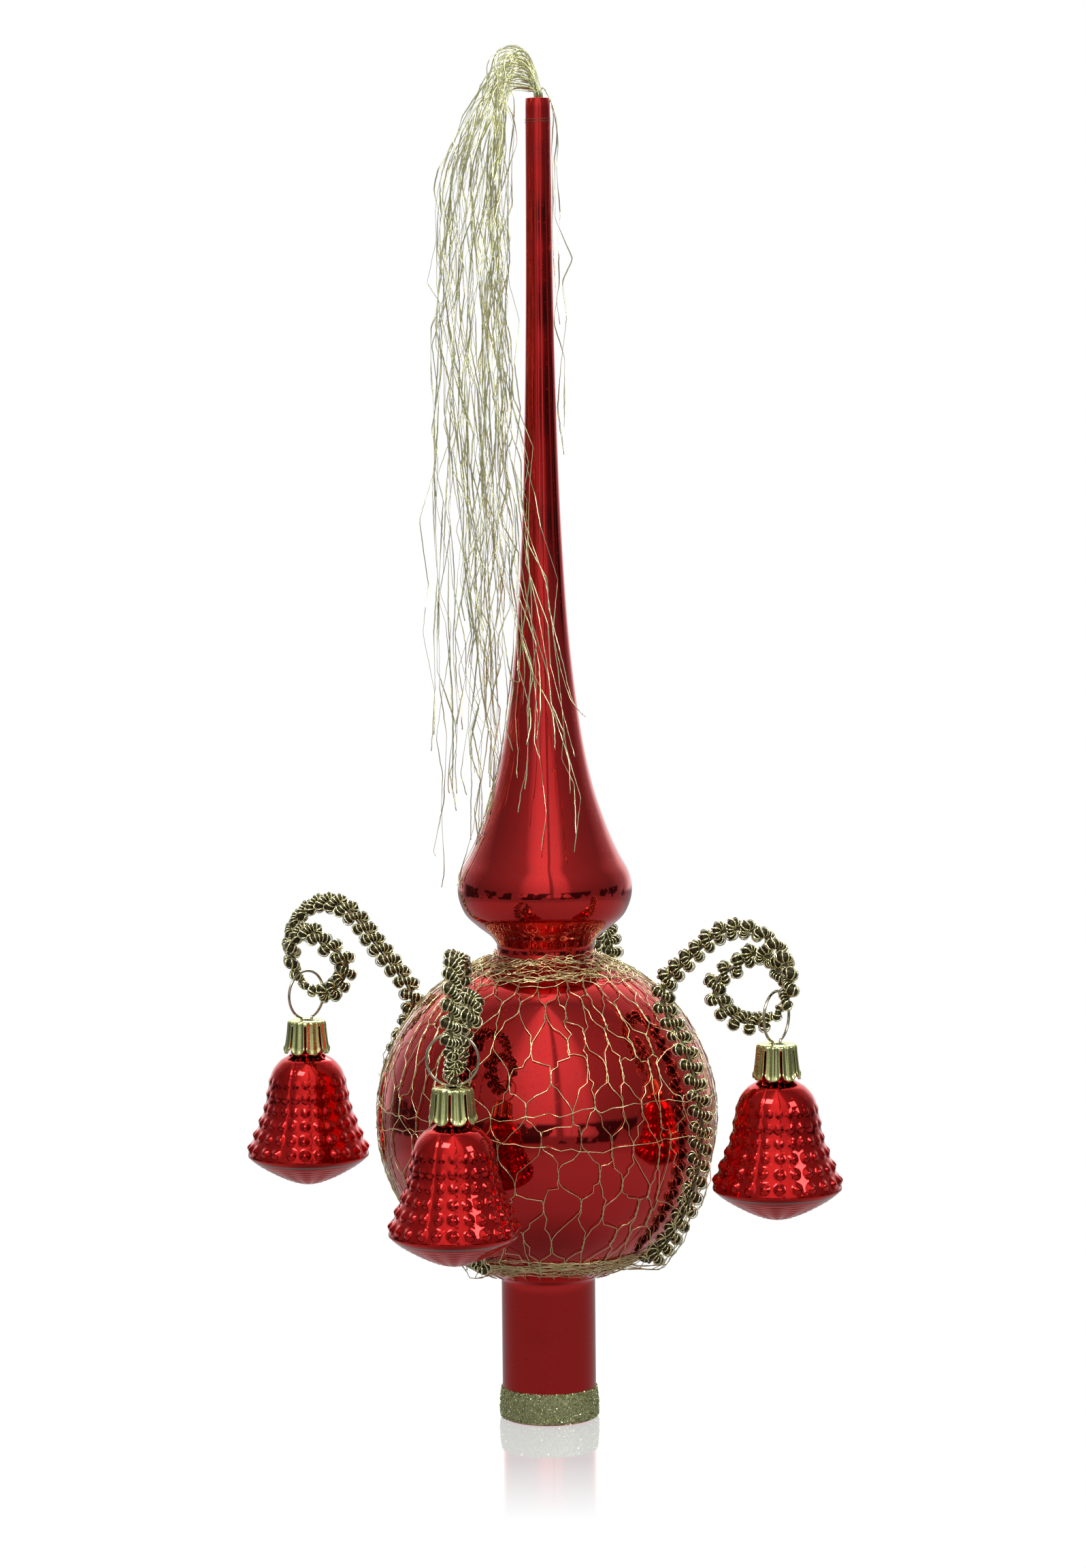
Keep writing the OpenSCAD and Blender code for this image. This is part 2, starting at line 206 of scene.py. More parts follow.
def new_material(name, kinds=()):
    """A material, its tree, and its named nodes with the Principled shader and the output."""
    material = bpy.data.materials.new(name)
    material.use_nodes = True
    tree = material.node_tree
    nodes = add_nodes(tree, dict(kinds))
    nodes["shader"] = tree.nodes["Principled BSDF"]
    nodes["out"] = tree.nodes["Material Output"]
    return material, tree, nodes


# The white table top is lit to plain white. Its gloss shows the foot, and fades away from it.
floor_material, tree, n = new_material("floor_white", {
    "place": "TexCoord", "length": "VectorMath LENGTH", "reach": "MapRange", "fade": "ValToRGB",
    "white": "Emission", "gloss": "BsdfGlossy", "both": "MixShader"})
set_values(n, {"reach": {"From Min": 100 * MM, "From Max": 10 * MM},
               "gloss": {"Roughness": 0.03, "Color": (1, 1, 1, 1)}})
set_ramp(n["fade"], [(0.0, 0), (0.24, 0.145), (0.60, 0.37), (1.0, 0.44)])
join_nodes(tree, n, [
    ("place", "Object", "length", 0), ("length", "Value", "reach", "Value"),
    ("reach", 0, "fade", 0), ("fade", 0, "both", "Fac"), ("white", 0, "both", 1),
    ("gloss", 0, "both", 2), ("both", 0, "out", "Surface")])
floor_size = 1.2
floor_mesh = bpy.data.meshes.new("floor")
floor_mesh.from_pydata(
    [(-floor_size, -floor_size, 0), (floor_size, -floor_size, 0),
     (floor_size, floor_size, 0), (-floor_size, floor_size, 0)], [], [(0, 1, 2, 3)])
floor_mesh.materials.append(floor_material)
floor = bpy.data.objects.new("floor", floor_mesh)
floor.visible_glossy = False
floor.visible_diffuse = False
scene.collection.objects.link(floor)


# Blown glass: one tube drawn into a socket, a ball, a bulb and a long spire that is cut open at
# its tip. It is silvered inside and lacquered red outside, about a millimetre thick.
def smooth_line(knots, steps):
    """Points of a Catmull-Rom curve through the knots."""
    knots = np.array(knots, float)
    padded = np.vstack([knots[0], knots, knots[-1]])
    t = (np.arange(steps) / steps)[:, None]
    line = []
    for a, b, c, d in zip(padded[:-3], padded[1:-2], padded[2:-1], padded[3:]):
        line.append(0.5 * (2 * b + (c - a) * t + (2 * a - 5 * b + 4 * c - d) * t ** 2
                           + (3 * b - a - 3 * c + d) * t ** 3))
    return np.vstack(line + [knots[-1:]])


def arc_line(centre, radius, low, high, steps):
    """Points on an arc in a plane, its angles in degrees."""
    turn = np.radians(np.linspace(low, high, steps))
    return np.array(centre) + radius * np.stack([np.cos(turn), np.sin(turn)], 1)


def unit(vectors):
    """Rows of vectors brought to length one."""
    return vectors / np.linalg.norm(vectors, axis=1)[:, None]


def inner_line(line, depth):
    """The same outline moved towards the axis by a wall's depth."""
    along = unit(np.gradient(line, axis=0))
    return line + depth * np.stack([-along[:, 1], along[:, 0]], 1)


def new_piece(name, points, faces, materials, face_slots=None, uv=None, ends=()):
    """A smooth-shaded mesh object from points in millimetres, quads, and flat end faces."""
    mesh = bpy.data.meshes.new(name)
    quads = np.asarray(faces, np.int32)
    corners = np.concatenate([quads.ravel()] + [np.array(e, np.int32) for e in ends])
    sides = np.r_[np.full(len(quads), 4), [len(e) for e in ends]].astype(np.int32)
    mesh.vertices.add(len(points))
    mesh.vertices.foreach_set("co", (np.asarray(points) * MM).astype(np.float32).ravel())
    mesh.loops.add(len(corners))
    mesh.loops.foreach_set("vertex_index", corners)
    mesh.polygons.add(len(sides))
    mesh.polygons.foreach_set("loop_start", np.r_[0, np.cumsum(sides)[:-1]].astype(np.int32))
    for material in materials:
        mesh.materials.append(material)
    if face_slots is not None:
        mesh.polygons.foreach_set("material_index", np.asarray(face_slots, np.int32))
    if uv is not None:
        layer = mesh.uv_layers.new(name="surface")
        layer.data.foreach_set("uv", np.asarray(uv, np.float32).ravel())
    mesh.update(calc_edges=True)
    mesh.validate()
    mesh.shade_smooth()
    piece = bpy.data.objects.new(name, mesh)
    scene.collection.objects.link(piece)
    return piece


def grid_faces(rows, columns, closed=True):
    """Quads of a grid of points, wrapped round its columns when closed."""
    across = columns if closed else columns - 1
    r, c = np.meshgrid(np.arange(rows - 1), np.arange(across), indexing="ij")
    a = r * columns + c
    b = r * columns + (c + 1) % columns
    return np.stack([a, b, b + columns, a + columns], -1).reshape(-1, 4)


def grid_uv(rows, columns):
    """A wrapped grid's uv per face corner: u once round, v along the rows."""
    r, c = np.meshgrid(np.arange(rows - 1), np.arange(columns), indexing="ij")
    u0, u1 = c / columns, (c + 1) / columns
    v0, v1 = r / (rows - 1), (r + 1) / (rows - 1)
    return np.stack([u0, v0, u1, v0, u1, v1, u0, v1], -1).reshape(-1, 2)


def lathe(name, line, turns, materials, face_slots=None):
    """A body of revolution from a closed or axis-ended outline of (radius, height) points."""
    angle = np.linspace(0, 2 * math.pi, turns, endpoint=False)
    rows = len(line)
    points = np.stack([
        line[:, :1] * np.cos(angle), line[:, :1] * np.sin(angle),
        np.repeat(line[:, 1:], turns, 1)], -1).reshape(-1, 3)
    faces = grid_faces(rows, turns)
    slots = None if face_slots is None else np.repeat(face_slots, turns)
    return new_piece(name, points, faces, materials, slots, grid_uv(rows, turns))


def new_group(name, inputs, outputs, kinds):
    """A node group and its named nodes, from {input: (socket, value)} and {output: socket}."""
    group = bpy.data.node_groups.new(name, "ShaderNodeTree")
    for label, (socket, value) in inputs.items():
        group.interface.new_socket(label, in_out="INPUT", socket_type=socket).default_value = value
    for label, socket in outputs.items():
        group.interface.new_socket(label, in_out="OUTPUT", socket_type=socket)
    nodes = add_nodes(group, kinds)
    nodes["put"] = group.nodes.new("NodeGroupInput")
    nodes["get"] = group.nodes.new("NodeGroupOutput")
    return group, nodes


def place_group(tree, group, **values):
    """Places a group in a material's tree with its own input values."""
    node = tree.nodes.new("ShaderNodeGroup")
    node.node_tree = group
    for label, value in values.items():
        node.inputs[label.replace("_", " ").capitalize()].default_value = value
    return node


FLOAT, COLOUR = "NodeSocketFloat", "NodeSocketColor"

# Lacquer that was dipped and ran a little: it is thinner in long soft streaks, holds a few specks,
# and the blown glass under it is not quite even.
lacquer, n = new_group("lacquer_flow", {
    "Deep colour": (COLOUR, (0.3, 0.0, 0.01, 1)), "Thin colour": (COLOUR, (0.7, 0.02, 0.03, 1)),
    "Streak scale": (FLOAT, 40.0), "Waviness": (FLOAT, 0.3)},
    {"Colour": COLOUR, "Roughness": FLOAT, "Height": FLOAT}, {
    "place": "TexCoord", "stretch": "Mapping", "streaks": "TexNoise", "streak_ramp": "ValToRGB",
    "colour": "Mix", "waves": "TexNoise", "wave_size": "Math MULTIPLY", "specks": "TexNoise",
    "speck_ramp": "ValToRGB", "sum": "Math ADD", "speck_size": "Math MULTIPLY",
    "rough": "MapRange"})
set_values(n, {
    "stretch": {"Scale": (1, 1, 0.12)}, "streaks": {"Detail": 3},
    "waves": {"Scale": 55, "Detail": 1}, "specks": {"Scale": 1500, "Detail": 0},
    "speck_size": {1: 0.02}, "rough": {"To Min": 0.015, "To Max": 0.06}})
set_ramp(n["streak_ramp"], [(0.3, 0), (0.7, 1)])
set_ramp(n["speck_ramp"], [(0.74, 0), (0.80, 1)])
join_nodes(lacquer, n, [
    ("place", "Object", "stretch", "Vector"), ("stretch", 0, "streaks", "Vector"),
    ("put", "Streak scale", "streaks", "Scale"), ("streaks", "Fac", "streak_ramp", 0),
    ("streak_ramp", 0, "colour", "Factor"), ("put", "Deep colour", "colour", "A"),
    ("put", "Thin colour", "colour", "B"), ("colour", "Result", "get", "Colour"),
    ("streaks", "Fac", "rough", "Value"), ("rough", 0, "get", "Roughness"),
    ("place", "Object", "waves", "Vector"), ("waves", "Fac", "wave_size", 0),
    ("put", "Waviness", "wave_size", 1), ("place", "Object", "specks", "Vector"),
    ("specks", "Fac", "speck_ramp", 0), ("speck_ramp", 0, "speck_size", 0),
    ("wave_size", 0, "sum", 0), ("speck_size", 0, "sum", 1), ("sum", 0, "get", "Height")])


def grouped_metal(name, group, relief, looks, **values):
    """A metal whose colour, roughness and relief come from a node group."""
    material, tree, nodes = new_material(name, {"bump": "Bump"})
    nodes["flow"] = place_group(tree, group, **values)
    set_values(nodes, {"bump": {"Distance": relief * MM}, "shader": {"Metallic": 1, **looks}})
    join_nodes(tree, nodes, [
        ("flow", "Colour", "shader", "Base Color"), ("flow", "Roughness", "shader", "Roughness"),
        ("flow", "Height", "bump", "Height"), ("bump", 0, "shader", "Normal")])
    return material, tree, nodes


def lacquered_glass(name, deep, thin, streak_scale, waviness):
    """Red mirror glass: lacquer over a silvered wall, under a clear gloss."""
    return grouped_metal(
        name, lacquer, 1, {"Coat Weight": 0.45, "Coat Roughness": 0.02, "Coat IOR": 1.5},
        deep_colour=deep, thin_colour=thin, streak_scale=streak_scale, waviness=waviness)


topper_red, _, _ = lacquered_glass(
    "topper_red", (0.50, 0.009, 0.009, 1), (0.62, 0.016, 0.015, 1), 30.0, 0.22)
silvering, _, n = new_material("silvering")
set_values(n, {"shader": {
    "Base Color": (0.62, 0.60, 0.57, 1), "Metallic": 1, "Roughness": 0.18}})

glass_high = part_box("glass_topper")[1]
glass_top = glass_high.z / MM
ball_radius = glass_high.x / MM
ball_height = 72.4
tube_radius = 11.1
neck_radius = 11.4
glass_wall = 1.0
neck_top = 113.4
spire_knots = [
    (neck_radius, neck_top), (12.9, 115.4), (16.2, 118), (18.8, 120.6), (20.3, 124.2),
    (20.5, 127.6), (19.7, 130.8), (17.4, 135), (14.6, 141.5), (11.4, 151.4), (8.8, 164.3),
    (6.4, 184), (4.9, 206), (3.9, 232), (3.2, 268), (2.9, glass_top)]
spire_line = smooth_line(spire_knots, 12)
ball_low_angle = -math.degrees(math.acos(tube_radius / ball_radius))
ball_high_angle = math.degrees(math.acos(neck_radius / ball_radius))
tube_line = np.stack([np.full(14, tube_radius), np.linspace(0.35, 33.2, 14)], 1)
ball_line = arc_line((0, ball_height), ball_radius, ball_low_angle + 1.2, ball_high_angle - 1, 96)
neck_line = smooth_line([
    (neck_radius + 0.35, 110.9), (neck_radius + 0.05, 111.6), (neck_radius, 112.6)], 3)
outside = np.vstack([
    [(tube_radius - 0.75, 0.0), (tube_radius - 0.25, 0.02)], tube_line,
    [(tube_radius + 0.1, 33.75)], ball_line, neck_line, spire_line,
    [(2.7, glass_top + 0.12), (2.3, glass_top + 0.15)]])
hollow = ball_radius - glass_wall
inside = np.vstack([
    [(tube_radius - glass_wall, 0.15), (tube_radius - glass_wall, 34.6)],
    arc_line((0, ball_height), hollow, -75.0, 74.5, 48),
    [(neck_radius - glass_wall, 111)], inner_line(spire_line, glass_wall)])
glass_line = np.vstack([outside, inside[::-1], outside[:1]])
glass_slots = np.r_[np.zeros(len(outside), int), np.ones(len(inside), int)]
glass = lathe("glass_topper_blown", glass_line, 192, [topper_red, silvering], glass_slots)
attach(glass, "topper")
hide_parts("glass_topper")


# Glitter band: gold flakes strewn into a ring of glue round the socket's mouth. The glue was
# brushed on, so the band is thicker in the middle and its upper edge is ragged.
chance = np.random.default_rng(4)
flakes_on_band = 5200


def at_places(places, length, line):
    """A line's values at places along its length."""
    return np.stack([np.interp(places, length, column) for column in line.T], 1)


glue_line = np.array([
    (tube_radius - 0.05, 0.45), (11.4, 0.40), (11.62, 1.0), (11.68, 2.6), (11.6, 4.6),
    (11.42, 6.3), (11.25, 7.3), (tube_radius - 0.05, 7.6)])
glue_line = smooth_line(glue_line, 4)

glue, tree, n = new_material("band_glue", {
    "grit": "TexNoise", "tone": "ValToRGB", "bump": "Bump", "place": "TexCoord"})
set_ramp(n["tone"], [(0.3, (0.16, 0.17, 0.07)), (0.7, (0.48, 0.50, 0.24))])
set_values(n, {"grit": {"Scale": 2500}, "bump": {"Distance": 0.15 * MM},
               "shader": {"Roughness": 0.4, "Metallic": 0.4}})
join_nodes(tree, n, [
    ("place", "Object", "grit", "Vector"), ("grit", "Fac", "tone", 0),
    ("tone", 0, "shader", "Base Color"), ("grit", "Fac", "bump", "Height"),
    ("bump", 0, "shader", "Normal")])

flake_gold, tree, n = new_material("flake_gold", {
    "map": "UVMap", "split": "SeparateXYZ", "tone": "ValToRGB"})
set_ramp(n["tone"], [
    (0.0, (0.20, 0.21, 0.08)), (0.35, (0.55, 0.56, 0.27)), (0.7, (0.85, 0.86, 0.50)),
    (1.0, (0.95, 0.95, 0.68))])
set_values(n, {"shader": {"Metallic": 1, "Roughness": 0.24}})
join_nodes(tree, n, [
    ("map", 0, "split", 0), ("split", "X", "tone", 0), ("tone", 0, "shader", "Base Color")])

glue_ring = lathe("glitter_glue", np.vstack([glue_line, glue_line[:1]]), 160, [glue])
glue_points = np.array([v.co for v in glue_ring.data.vertices])
lump = 1 + 0.010 * chance.standard_normal(len(glue_points))[:, None]
glue_points[:, :2] *= lump
glue_ring.data.vertices.foreach_set("co", glue_points.astype(np.float32).ravel())

along = chance.uniform(0.4, len(glue_line) - 2.2, flakes_on_band)
spot = at_places(along, np.arange(len(glue_line)), glue_line)
spot[:, 0] += chance.uniform(0.0, 0.16, flakes_on_band)
turn = chance.uniform(0, 2 * math.pi, flakes_on_band)
outward = np.stack([np.cos(turn), np.sin(turn), np.zeros_like(turn)], 1)
facing = outward + 0.8 * chance.standard_normal((flakes_on_band, 3))
facing = unit(facing)
flake_side = np.cross(facing, chance.standard_normal((flakes_on_band, 3)))
flake_side = unit(flake_side)
flake_up = np.cross(facing, flake_side)
flake_size = chance.uniform(0.10, 0.21, flakes_on_band)[:, None]
middle = outward * spot[:, :1] + np.array([0, 0, 1]) * spot[:, 1:]
flake_corners = np.stack([
    middle + flake_size * (math.cos(a) * flake_side + math.sin(a) * flake_up)
    for a in (0, math.pi / 2, math.pi, 1.5 * math.pi)], 1).reshape(-1, 3)
flake_corners[:, 2] = np.maximum(flake_corners[:, 2], 0.31)
flake_faces = np.arange(4 * flakes_on_band).reshape(-1, 4)
flake_uv = np.repeat(chance.uniform(0, 1, (flakes_on_band, 2)), 4, 0)
flakes = new_piece("glitter_flakes", flake_corners, flake_faces, [flake_gold], None, flake_uv)
flakes.data.shade_flat()
for piece in (glue_ring, flakes):
    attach(piece, "topper")
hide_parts("glitter_band")


# The four arms: each is a soft core wire inside a beaded sheath. Very fine bright wire is wound
# into a tight coil, and that coil runs round the core in a wide spiral, so its bends look like
# two rows of beads. An arm lies on the ball under the net, then rises and curls at its end.
def across(az):
    """The level direction at an azimuth, measured from the front towards +X, in degrees."""
    return np.array([math.sin(math.radians(az)), -math.cos(math.radians(az)), 0.0])


UP = np.array([0.0, 0.0, 1.0])
arm_shapes = {
    "left": dict(lay_az=-120, rise_az=-133, leave=29, bend=7.0, reach=31.2, curl_z=107.0, hang=4.6,
                 wide=15.0, join=35),
    "front": dict(lay_az=-32, rise_az=-4, leave=32, bend=9.0, reach=18.4, curl_z=101.8, hang=6.9,
                  wide=14.5, join=10),
    "right": dict(lay_az=56, rise_az=58, leave=37, bend=7.5, reach=22.0, curl_z=108.6, hang=6.6,
                  wide=13.5, join=40),
    "back": dict(lay_az=166, rise_az=166, leave=20, bend=13.0, reach=18.2, curl_z=99.8, hang=5.0,
                 wide=11.5, join=40)}
lay_radius = ball_radius + 3.0
curl_radius = 10.3
tail_radius = 5.4
tail_side = 3.8
tail_from, tail_to, curl_end = -158, -215, -372
arm_start_angle = -49
lay_steps, rise_steps, over_steps, curl_steps = 200, 60, 80, 400
line_step = 0.25


def circle_spot(centre, radius, turn):
    """The point of a circle in a plane at an angle in degrees."""
    return centre + radius * np.array([math.cos(math.radians(turn)), math.sin(math.radians(turn))])


def plane_points(line, az, shift):
    """Points of a (distance, height) line in the upright plane at an azimuth."""
    return line[:, :1] * across(az) + line[:, 1:] * UP + shift


def run_along(line):
    """The length run at each point of a line."""
    return np.r_[0, np.cumsum(np.linalg.norm(np.diff(line, axis=0), axis=1))]


def arm_centreline(shape):
    """An arm's centreline, with its in-plane and sideways directions, every quarter millimetre."""
    leave = math.radians(shape["leave"])
    stand = lay_radius * math.cos(leave)
    shift = stand * (across(shape["lay_az"]) - across(shape["rise_az"]))
    curl = np.array([stand + shape["reach"], shape["curl_z"]])
    bend = np.array([0, ball_height]) + (lay_radius + shape["bend"]) * np.array(
        [math.cos(leave), math.sin(leave)])
    wide = circle_spot(curl, shape["wide"] - curl_radius, shape["join"] + 180)
    gap = wide - bend
    normal = math.degrees(math.atan2(gap[1], gap[0])
                          + math.acos((shape["bend"] - shape["wide"]) / np.linalg.norm(gap)))
    lay = plane_points(
        arc_line((0, ball_height), lay_radius, arm_start_angle, shape["leave"], lay_steps),
        shape["lay_az"], 0)
    rise = arc_line(bend, shape["bend"], 180 + shape["leave"], normal, rise_steps)
    over = arc_line(wide, shape["wide"], normal, shape["join"], over_steps)
    turn = np.linspace(shape["join"], curl_end, curl_steps)
    shrink = np.clip((tail_from - turn) / (tail_from - tail_to), 0, 1)
    shrink = shrink * shrink * (3 - 2 * shrink)
    radius = curl_radius + (tail_radius - curl_radius) * shrink
    ray = np.radians(turn)
    curl_line = curl + radius[:, None] * np.stack([np.cos(ray), np.sin(ray)], 1)
    sideways = np.cross(across(shape["rise_az"]), UP)
    free = plane_points(np.vstack([rise[1:], over[:-1], curl_line]), shape["rise_az"], shift)
    free[-curl_steps:] -= tail_side * shrink[:, None] * sideways
    hang_turn = -math.degrees(math.acos(shape["hang"] / curl_radius))
    hang_spot = plane_points(circle_spot(curl, curl_radius, hang_turn)[None],
                             shape["rise_az"], shift)[0]
    line = np.vstack([lay, free])
    length = run_along(line)
    even = np.arange(0, length[-1], line_step)
    line = at_places(even, length, line)
    way = unit(np.gradient(line, axis=0))
    side_lay = np.cross(across(shape["lay_az"]), UP)
    blend = np.clip((even - length[lay_steps - 1] + 6) / 12, 0, 1)[:, None]
    side = (1 - blend) * side_lay + blend * sideways
    side -= (side * way).sum(1)[:, None] * way
    side = unit(side)
    return even, line, way, side, np.cross(side, way), hang_spot


def tube_wires(name, wires, materials, sides, ride):
    """One mesh of many bent wires; each is (points, facing, half width, half thickness)."""
    ring = np.arange(sides) * 2 * math.pi / sides
    points, faces, ends, uvs, start = [], [], [], [], 0
    for number, (line, facing, wide, thick) in enumerate(wires):
        way = np.gradient(line, axis=0)
        way /= np.linalg.norm(way, axis=1)[:, None] + 1e-12
        side = np.cross(way, facing)
        side /= np.linalg.norm(side, axis=1)[:, None] + 1e-12
        front = np.cross(side, way)
        wide, thick = np.reshape(wide, (-1, 1, 1)), np.reshape(thick, (-1, 1, 1))
        body = (line[:, None] + wide * np.cos(ring)[:, None] * side[:, None]
                + thick * np.sin(ring)[:, None] * front[:, None])
        rows = len(line)
        points.append(body.reshape(-1, 3))
        faces.append(start + grid_faces(rows, sides))
        ends.append(list(range(start + sides - 1, start - 1, -1)))
        ends.append(list(range(start + (rows - 1) * sides, start + rows * sides)))
        length = run_along(line) / 10
        own = (number * 0.381) % 1
        low = np.repeat(length[:-1], sides)
        high = np.repeat(length[1:], sides)
        flat = np.full(low.shape, own)
        uvs.append(np.stack([flat, low, flat, low, flat, high, flat, high], 1).reshape(-1, 2))
        start += rows * sides
    uvs.append(np.zeros((len(ends) * sides, 2)))
    piece = new_piece(name, np.vstack(points), np.vstack(faces), materials, None,
                      np.vstack(uvs), ends)
    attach(piece, ride)
    return piece


# Bright wire that has dulled unevenly, shared by everything made of wire or thin sheet.
tarnish, n = new_group("wire_tarnish", {
    "Bright colour": (COLOUR, (0.8, 0.7, 0.4, 1)), "Dull colour": (COLOUR, (0.3, 0.2, 0.1, 1)),
    "Patch scale": (FLOAT, 300.0), "Dull share": (FLOAT, 0.5), "Gloss": (FLOAT, 0.2)},
    {"Colour": COLOUR, "Roughness": FLOAT, "Height": FLOAT}, {
    "place": "TexCoord", "patches": "TexNoise", "edge": "MapRange", "colour": "Mix",
    "fine": "TexNoise", "rough": "Math ADD", "rough_step": "Math MULTIPLY",
    "low": "Math SUBTRACT"})
set_values(n, {"patches": {"Detail": 2}, "fine": {"Scale": 4000}, "low": {0: 1},
               "rough_step": {1: 0.18}})
join_nodes(tarnish, n, [
    ("place", "Object", "patches", "Vector"), ("put", "Patch scale", "patches", "Scale"),
    ("patches", "Fac", "edge", "Value"), ("put", "Dull share", "low", 1),
    ("low", 0, "edge", "From Min"), ("edge", 0, "colour", "Factor"),
    ("put", "Bright colour", "colour", "A"), ("put", "Dull colour", "colour", "B"),
    ("colour", "Result", "get", "Colour"), ("edge", 0, "rough_step", 0),
    ("rough_step", 0, "rough", 0), ("put", "Gloss", "rough", 1),
    ("rough", 0, "get", "Roughness"), ("place", "Object", "fine", "Vector"),
    ("fine", "Fac", "get", "Height")])


def wire_metal(name, bright, dull, patch_scale, dull_share, gloss):
    """A bright metal with dulled patches and a fine drawn surface."""
    return grouped_metal(
        name, tarnish, 0.01, {}, bright_colour=bright, dull_colour=dull,
        patch_scale=patch_scale, dull_share=dull_share, gloss=gloss)[0]


# The dull patches of this wire are partly tarnish and partly a painted reflection: their red-brown
# tint stands in for the red glass reflected in the wire.
bouillon_gold = wire_metal("bouillon_gold", (0.95, 0.92, 0.55, 1), (0.34, 0.22, 0.10, 1),
                           260.0, 0.44, 0.11)
# Near-black for the painted shade inside the coils: it colours a solid fill that stands for the
# shade in the hollow of each coil.
bouillon_painted_shade = wire_metal("bouillon_painted_shade", (0.07, 0.06, 0.03, 1), (0.03, 0.02, 0.01, 1),
                           400.0, 0.5, 0.45)
core_iron = wire_metal("core_iron", (0.16, 0.13, 0.09, 1), (0.07, 0.05, 0.03, 1), 200.0, 0.5, 0.4)
bead_pitch = 3.7
bead_swing = 1.62
coil_radius = 1.36
coil_pitch = 0.74
coil_steps = 12
coil_wire = (0.19, 0.15)
slant_step = 12.0
shade_fill_stride = 6
for arm_name, shape in arm_shapes.items():
    even, line, way, side, normal, hang_spot = arm_centreline(shape)
    core = tube_wires("core_wire_" + arm_name, [(line[::3], normal[::3], 0.5, 0.5)],
                      [core_iron], 8, "topper")
    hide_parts("arm_core_" + arm_name)
    nearness = np.linalg.norm(line - hang_spot, axis=1)
    squeeze = np.clip((nearness - 1.2) / 4.0, 0, 1)
    swing = bead_swing * (0.38 + 0.62 * squeeze)
    wobble = np.cumsum(chance.normal(0, 0.05, len(even)))
    phase = 2 * math.pi * even / bead_pitch + wobble
    slant_knots = np.arange(0, even[-1] + slant_step, slant_step)
    slant = math.pi / 4 + np.interp(even, slant_knots, chance.normal(0, 0.25, len(slant_knots)))
    ahead_turn, beside_turn = np.cos(slant)[:, None], np.sin(slant)[:, None]
    row_way = ahead_turn * side + beside_turn * normal
    cross_way = ahead_turn * normal - beside_turn * side
    spiral = line + swing[:, None] * (np.cos(phase)[:, None] * row_way
                                      + 0.6 * np.sin(phase)[:, None] * cross_way)
    outward = spiral - line
    outward = unit(outward)
    run = run_along(spiral)
    fine = np.arange(0, run[-1], coil_pitch / coil_steps)
    centre = at_places(fine, run, spiral)
    out = at_places(fine, run, outward)
    ahead = unit(np.gradient(centre, axis=0))
    out -= (out * ahead).sum(1)[:, None] * ahead
    out = unit(out)
    cross = np.cross(ahead, out)
    bead = np.interp(fine, run, np.abs(np.cos(phase)))
    size = coil_radius * (0.52 + 0.55 * bead ** 1.5) * np.interp(fine, run, 0.8 + 0.2 * squeeze)
    loose = np.interp(fine, np.linspace(0, run[-1], 400), chance.normal(1, 0.06, 400))
    ray = 2 * math.pi * fine / coil_pitch
    coil = centre + (size * loose)[:, None] * (np.cos(ray)[:, None] * out
                                               + np.sin(ray)[:, None] * cross)
    facing = coil - centre
    facing = unit(facing)
    sheath = tube_wires("bouillon_wire_" + arm_name, [(coil, facing, *coil_wire)],
                        [bouillon_gold], 4, "topper")
    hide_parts("arm_bouillon_" + arm_name)
    # Painted shade: a dark solid tube inside each coil makes the gaps between the turns look dark,
    # where the real coil is hollow and only shaded.
    depth = (size * loose)[::shade_fill_stride] * 0.82
    tube_wires("bouillon_shade_fill_" + arm_name,
               [(centre[::shade_fill_stride], out[::shade_fill_stride], depth, depth)],
               [bouillon_painted_shade], 8, "topper")


# The net: crinkled gold wire worked into long six-sided cells, pulled over the ball and the arms
# and gathered at the neck and under the ball. Neighbouring wires twist together at each joint.
net_wires = 72
net_rows = 12
net_low, net_high = -63.0, 68.0
net_lift = 0.33
net_wire_radius = 0.105
net_hold = 2.5
net_gold = wire_metal("net_gold", (0.76, 0.68, 0.36, 1), (0.38, 0.30, 0.13, 1), 350.0, 0.45, 0.22)


def tent(az, tilt):
    """How far the net stands off the ball where it is stretched over an arm, in millimetres."""
    height = np.zeros_like(az)
    for shape in arm_shapes.values():
        apart = np.abs((az - shape["lay_az"] + 180) % 360 - 180)
        distance = np.radians(apart) * lay_radius * np.cos(np.radians(tilt))
        cover = np.clip((shape["leave"] - tilt) / 7, 0, 1) * np.clip((tilt + 58) / 10, 0, 1)
        height = np.maximum(height, 5.6 * cover * np.clip(1 - (distance - 2.0) / 6.0, 0, 1))
    return height


def on_net(az, tilt, lift=0.0):
    """Points at azimuths and tilts on the ball's net, and the way they face."""
    az, tilt = np.asarray(az, float), np.asarray(tilt, float)
    reach = ball_radius + net_lift + tent(az, tilt) + lift
    level, rise = np.cos(np.radians(tilt)), np.sin(np.radians(tilt))
    facing = np.stack([np.sin(np.radians(az)) * level, -np.cos(np.radians(az)) * level, rise], 1)
    return np.array([0, 0, ball_height]) + reach[:, None] * facing, facing


joint_az = np.zeros((net_rows, net_wires // 2))
joint_tilt = np.zeros_like(joint_az)
for row in range(net_rows):
    for joint in range(net_wires // 2):
        base = 360 / net_wires * (2 * joint + 0.5 + row % 2)
        tilt = net_low + (net_high - net_low) * row / (net_rows - 1)
        drift = 3.2 * math.sin(math.radians(3 * base + 40)) + 2.0 * math.sin(
            math.radians(5 * base + 2.5 * tilt))
        ends = 0.35 if row in (0, net_rows - 1) else 1
        joint_az[row, joint] = base + drift + ends * chance.uniform(-2.6, 2.6)
        joint_tilt[row, joint] = (tilt + 2.2 * math.sin(math.radians(4 * base + 70)) * ends
                                  + ends * chance.uniform(-3.2, 3.2))

